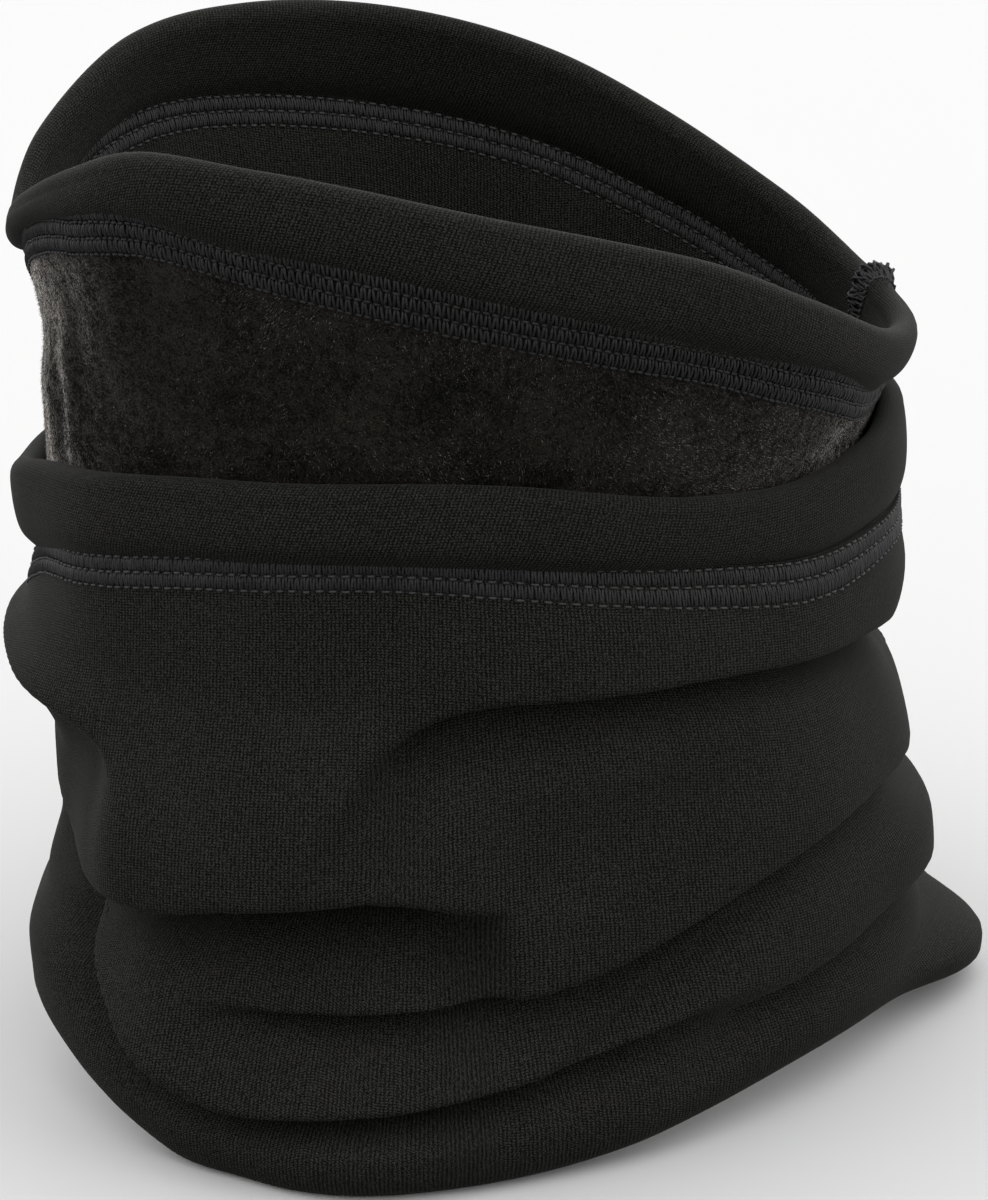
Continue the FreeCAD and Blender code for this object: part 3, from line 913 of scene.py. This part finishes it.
def back_seam(materials):
    """The seam that closes the tube behind the neck, on both leaves, knit side and fleece side."""
    needle, bulky = materials
    here = np.array([NAPE])
    foot = float(fold_start(here)[0]) + 2
    outer_top = float(outer_seam(here)[0]) - LOOPER_HALF
    inner_top = float(inner_seam(here)[0]) - LOOPER_HALF
    runs = ((outer_face, outer_top), (neck_face, inner_top))
    made = []
    for name, across in (("left", BACK_ROW), ("right", -BACK_ROW)):
        groups = [(dashes(face, upright_track, foot, top, across), THREAD) for face, top in runs]
        made.append(thread_piece("back_seam_needle_" + name, "back_seam_needle_thread_" + name, groups,
                                 needle, 6))
    groups = [(rungs(face, upright_track, foot, top, -1.5, 1.5, 3.0, 0.5, 0.28), BULKY)
              for face, top in runs]
    made.append(thread_piece("back_seam_cover", "back_seam_cover_thread", groups, bulky))
    runs = ((hidden_face, outer_top), (fleece_face, inner_top))
    groups = [(rungs(face, upright_track, foot, top, -BACK_LOOPER, BACK_LOOPER, 2.4, 0.9, 0.4), BULKY)
              for face, top in runs]
    made.append(thread_piece("back_seam_looper", "back_seam_looper_thread", groups, bulky))
    return made


def cuff_closings(materials):
    """Overlocked stitches that close each cuff band in line with the back seam, bunched at the rim."""
    bulky = materials[1]
    here = np.array([NAPE])
    made = []
    for side, seam, top, inward, over in (("outer", outer_seam, outer_cuff_top, False, 0),
                                          ("inner", inner_seam, rim, True, NUB_RUN)):
        face = cuff_face(side, inward)
        low, high = float(seam(here)[0]) + 3.6, float(top(here)[0]) - CUFF_CROWN + over
        groups = [(rungs(face, upright_track, low, high, -2.6, 2.6, 4.4, 0.7, 0.7), BULKY),
                  (dashes(face, upright_track, low, high, CLOSING_HALF, 1.2, 0.6, 0.5), BULKY * 1.2),
                  (dashes(face, upright_track, low, high, -CLOSING_HALF, 1.2, 0.6, 0.5), BULKY * 1.2)]
        if over:
            for level, reach in ((0.9, 3.4), (1.5, 2.8), (2.1, 2.0)):
                groups.append((rungs(face, upright_track, high - 11, high - 0.6, -reach, reach, 4.4, 1.8,
                                     level), BULKY * 1.3))
        made.append(thread_piece("cuff_%s_closing" % side, side + "_cuff_closing_thread", groups, bulky))
    return made


# --- Fibres of the pile ---
def build_fibres(material, count):
    """Fine tapered hairs lying over in swirls on the fleece that shows."""
    draw = np.random.default_rng(41)
    angle = draw.uniform(0, 360, count)
    low, high = outer_cuff_top(angle) - 5, inner_seam(angle) - LOOPER_HALF - 0.3
    height = low + (high - low) * draw.uniform(0, 1, count)
    root, outward = fleece_face(angle, height, np.full(count, -0.25))
    turn = np.radians(angle)
    sideways = np.stack([np.cos(turn), np.sin(turn), 0 * turn], -1)
    swirl = ripple(angle, height, 12, 0.9, 43) + draw.normal(0, 0.5, count)
    lean = -np.cos(swirl)[:, None] * np.array([0, 0, 1.0]) + np.sin(swirl)[:, None] * sideways
    across = np.cross(lean, outward)
    long = draw.uniform(0.5, 1.1, (count, 1))
    tip = root + lean * long * 0.9 + outward * (long * draw.uniform(0.15, 0.45, (count, 1)) + 0.22)
    wide = draw.uniform(0.04, 0.07, (count, 1))
    points = np.stack([root - across * wide, root + across * wide, root + outward * wide * 1.5, tip], 1)
    faces = (np.array([(0, 1, 2), (0, 3, 1), (1, 3, 2), (2, 3, 0)])
             + np.arange(count)[:, None, None] * 4).reshape(-1, 3).tolist()
    return new_piece("fleece_fibres", points, faces, material)


# --- Floor, light and camera ---
def floor():
    mesh = bpy.data.meshes.new("floor")
    size = 4.0
    mesh.from_pydata([(-size, -size, 0), (size, -size, 0), (size, size, 0), (-size, size, 0)], [],
                     [(0, 1, 2, 3)])
    material, _, surface = shader("pale_floor", 0.9, 0.0, (1, 1, 1), 0.5)
    surface.inputs["Base Color"].default_value = (*FLOOR_GREY, 1)
    mesh.materials.append(material)
    piece = bpy.data.objects.new("floor", mesh)
    bpy.context.scene.collection.objects.link(piece)


def soft_light(name, place_at, aim, size, power):
    lamp = bpy.data.lights.new(name, "AREA")
    lamp.shape = "DISK"
    lamp.size = size
    lamp.energy = power
    piece = bpy.data.objects.new(name, lamp)
    piece.location = place_at
    direction = np.array(aim) - np.array(place_at)
    piece.rotation_euler = mathutils.Vector(direction).to_track_quat("-Z", "Y").to_euler()
    bpy.context.scene.collection.objects.link(piece)


def studio():
    """A white dome, strongest overhead and at both sides, and a broad key from the upper left."""
    world = bpy.data.worlds.new("studio")
    world.use_nodes = True
    tree = world.node_tree
    direction = tree.nodes.new("ShaderNodeTexCoord").outputs["Generated"]
    split = add(tree, "ShaderNodeSeparateXYZ")
    tree.links.new(direction, split.inputs[0])
    overhead = math_node(tree, "MULTIPLY", math_node(tree, "MAXIMUM", split.outputs["Z"], 0.0), SKY_TOP)
    aside = math_node(tree, "ADD", math_node(tree, "MULTIPLY", split.outputs["X"], CAMERA_RIGHT[0]),
                      math_node(tree, "MULTIPLY", split.outputs["Y"], CAMERA_RIGHT[1]))
    aside = math_node(tree, "MULTIPLY", math_node(tree, "MULTIPLY", aside, aside), SKY_SIDE)
    strength = math_node(tree, "ADD", math_node(tree, "ADD", overhead, aside), SKY_BASE)
    background = tree.nodes["Background"]
    background.inputs["Color"].default_value = (1, 1, 1, 1)
    tree.links.new(strength, background.inputs["Strength"])
    bpy.context.scene.world = world
    bpy.context.scene.view_settings.view_transform = "Standard"
    right, back = np.array(CAMERA_RIGHT), np.array(CAMERA_BACK)
    soft_light("key", tuple(-0.75 * right + 0.2 * back + 0.55 * np.array((0, 0, 1.0))), (0, 0, 0.09),
               0.5, KEY_POWER)


def camera():
    lens = bpy.data.cameras.new("camera")
    lens.sensor_fit = "HORIZONTAL"
    lens.sensor_width = 36.0
    lens.lens = 153.4
    piece = bpy.data.objects.new("camera", lens)
    aim = mathutils.Vector((0, 0, AIM_HEIGHT)) + mathutils.Vector(CAMERA_RIGHT) * AIM_ASIDE
    piece.location = aim + mathutils.Vector(CAMERA_BACK) * CAMERA_AWAY
    piece.rotation_euler = mathutils.Vector(CAMERA_BACK).to_track_quat("Z", "Y").to_euler()
    bpy.context.scene.collection.objects.link(piece)
    bpy.context.scene.camera = piece


def main():
    knit_material = jersey("jersey_upright", KNIT_COLOURS, 0.0)
    band_material = jersey("jersey_slanted", BAND_COLOURS, 0.35)
    pile_material = pile("brushed_pile", PILE_COLOURS, 0.68)
    # The hairs' material carries a painted highlight: it is lighter than the pile's.
    fibre_highlight_material = pile("pile_fibre_highlight", FIBRE_HIGHLIGHT_COLOURS, 0.42)
    threads = (thread("needle_thread", NEEDLE_COLOURS), thread("bulky_thread", BULKY_COLOURS))
    knit, fleece = build_body(knit_material, pile_material)
    cuffs = build_cuffs(band_material, pile_material)
    fibres = build_fibres(fibre_highlight_material, FIBRES)
    outer_threads = flat_seam("outer", outer_face, hidden_face, outer_seam, threads, HIDDEN_LOOPER)
    inner_threads = flat_seam("inner", neck_face, fleece_face, inner_seam, threads, SHOWN_LOOPER)
    back_threads = back_seam(threads)
    closings = cuff_closings(threads)
    floor()
    studio()
    camera()


main()
